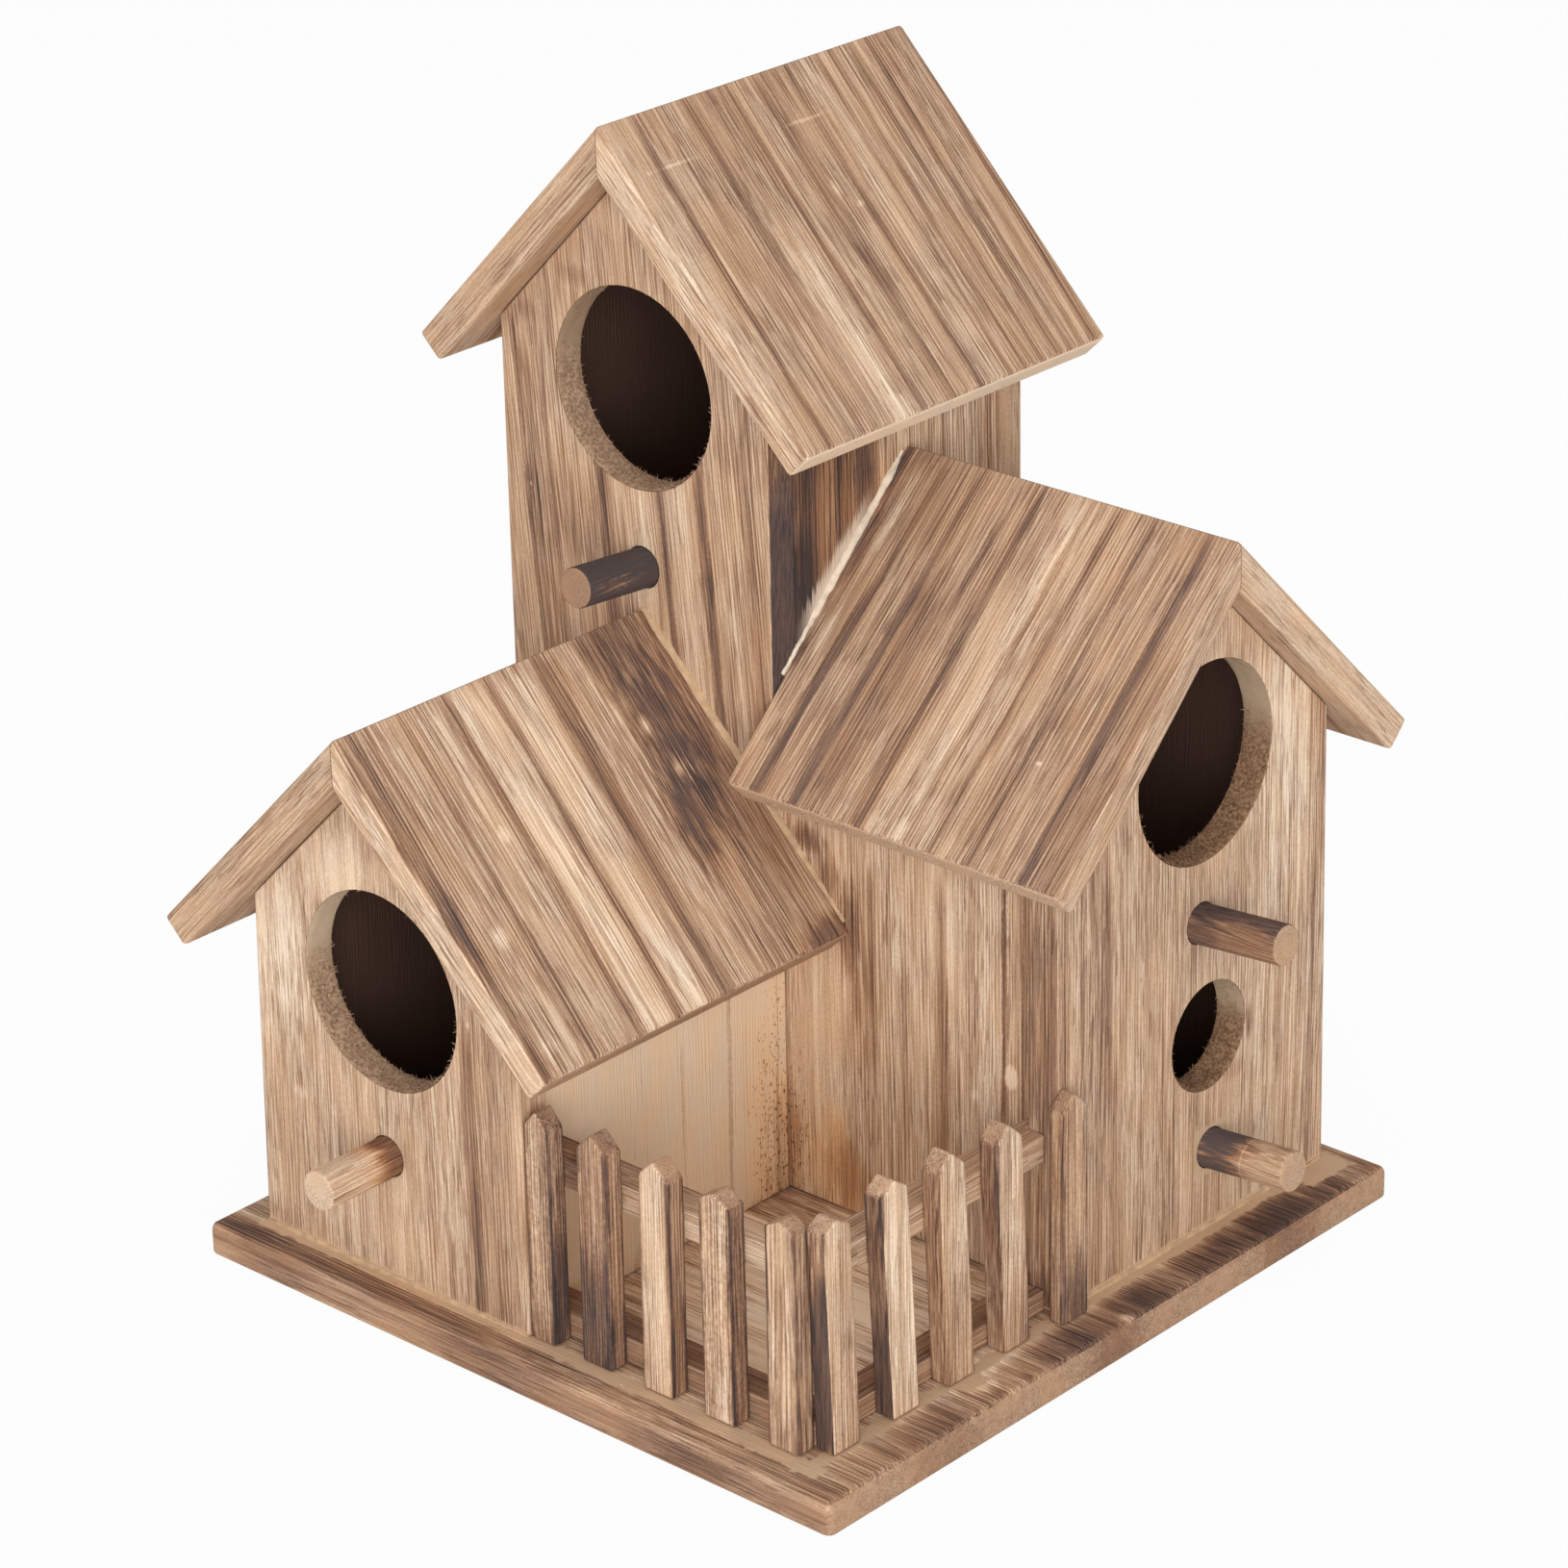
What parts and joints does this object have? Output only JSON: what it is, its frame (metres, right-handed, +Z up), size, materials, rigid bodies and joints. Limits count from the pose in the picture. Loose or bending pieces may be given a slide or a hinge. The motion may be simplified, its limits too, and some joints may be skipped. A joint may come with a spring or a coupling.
{
  "type": "parakeet nest box",
  "caption": "Wooden nest box for small birds: three gabled houses with round entrances and dowel perches, joined round a picket-fenced courtyard on one base board.",
  "frame": {"origin": "centre of the base board's underside", "axes": "+Z up; -Y the side that the front house and the tower face; +X the side that the rear house faces"},
  "size_m": [0.2198, 0.2293, 0.2693],
  "materials": {
    "base_wood": "scorched and wire-brushed paulownia, unsealed",
    "wall_wood": "lightly scorched paulownia, grain upright, unsealed",
    "roof_wood": "scorched paulownia with dark grain down the slope, unsealed",
    "dowel_wood": "plain dowel, scorched at the root",
    "fence_wood": "sawn stick, unevenly scorched"
  },
  "bodies": {
    "root": {"base_board": "base_wood", "tower_front_wall": "wall_wood", "tower_back_wall": "wall_wood", "tower_left_wall": "wall_wood", "tower_right_wall": "wall_wood", "front_house_gable": "wall_wood", "front_house_outer_wall": "wall_wood", "front_house_court_wall": "wall_wood", "rear_house_gable": "wall_wood", "rear_house_court_wall": "wall_wood", "rear_house_back_wall": "wall_wood", "tower_roof_left": "roof_wood", "tower_roof_right": "roof_wood", "front_house_roof_left": "roof_wood", "front_house_roof_right": "roof_wood", "rear_house_roof_court": "roof_wood", "rear_house_roof_back": "roof_wood", "tower_perch": "dowel_wood", "front_house_perch": "dowel_wood", "rear_house_perch": "dowel_wood", "rear_house_low_perch": "dowel_wood", "front_picket_1": "fence_wood", "front_picket_2": "fence_wood", "front_picket_3": "fence_wood", "front_picket_4": "fence_wood", "front_picket_5": "fence_wood", "side_picket_1": "fence_wood", "side_picket_2": "fence_wood", "side_picket_3": "fence_wood", "side_picket_4": "fence_wood", "side_picket_5": "fence_wood", "front_lower_rail": "fence_wood", "front_upper_rail": "fence_wood", "side_lower_rail": "fence_wood", "side_upper_rail": "fence_wood"}
  },
  "joints": []
}
